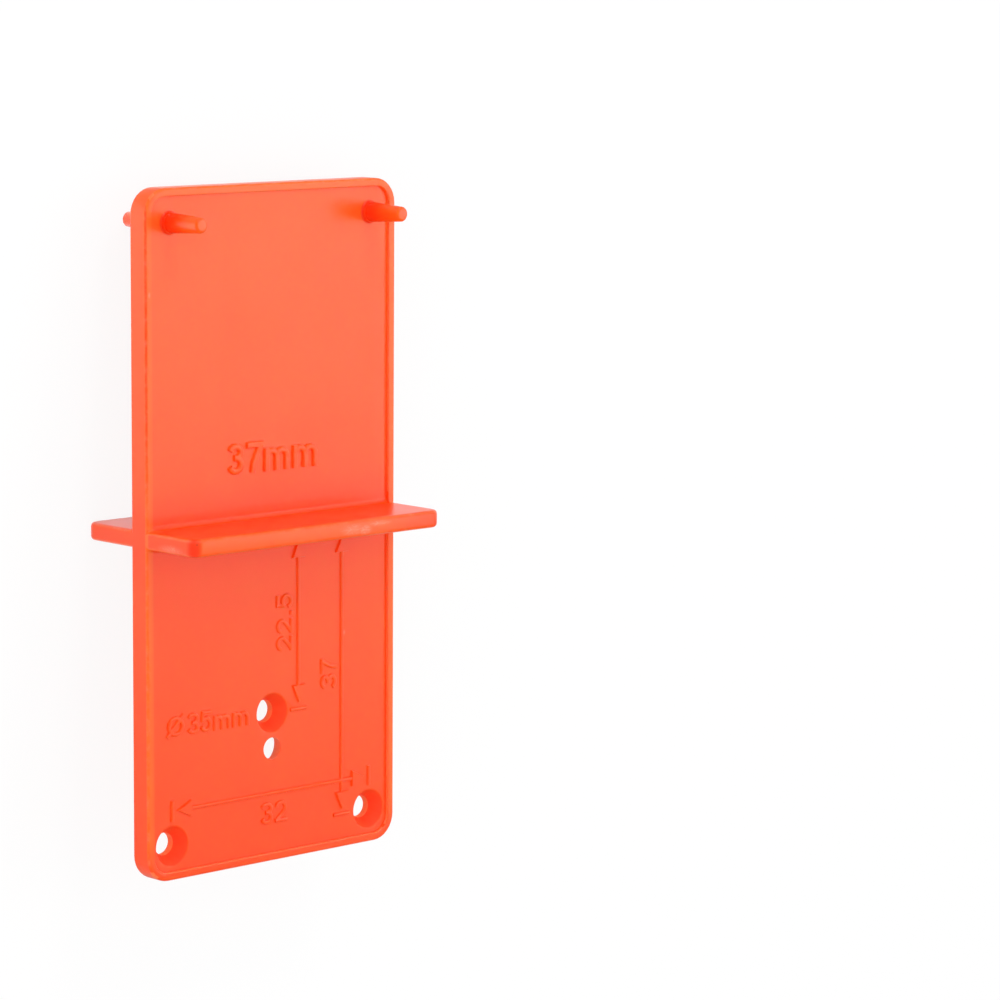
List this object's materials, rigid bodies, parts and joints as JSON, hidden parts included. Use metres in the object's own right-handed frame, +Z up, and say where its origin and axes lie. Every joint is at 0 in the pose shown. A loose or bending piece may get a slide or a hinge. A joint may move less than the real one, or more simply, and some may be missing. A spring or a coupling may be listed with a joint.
{
  "type": "hinge drilling jig",
  "caption": "Flat moulded plate with a cross fence, stub pins near one end and countersunk pilot holes near the other, for marking hinge positions.",
  "frame": {"origin": "bottom centre of the bounding box, on the surface that the jig lies on", "axes": "+X across the plate, +Y along the plate towards the pins, +Z up, out of the plate's front side; the plate is tilted about X as it comes to rest on its fence and back pins"},
  "size_m": [0.04, 0.0844, 0.0208],
  "materials": {
    "orange_plastic": "semi-gloss moulded"
  },
  "bodies": {
    "root": {"jig_body": "orange_plastic"}
  },
  "joints": []
}
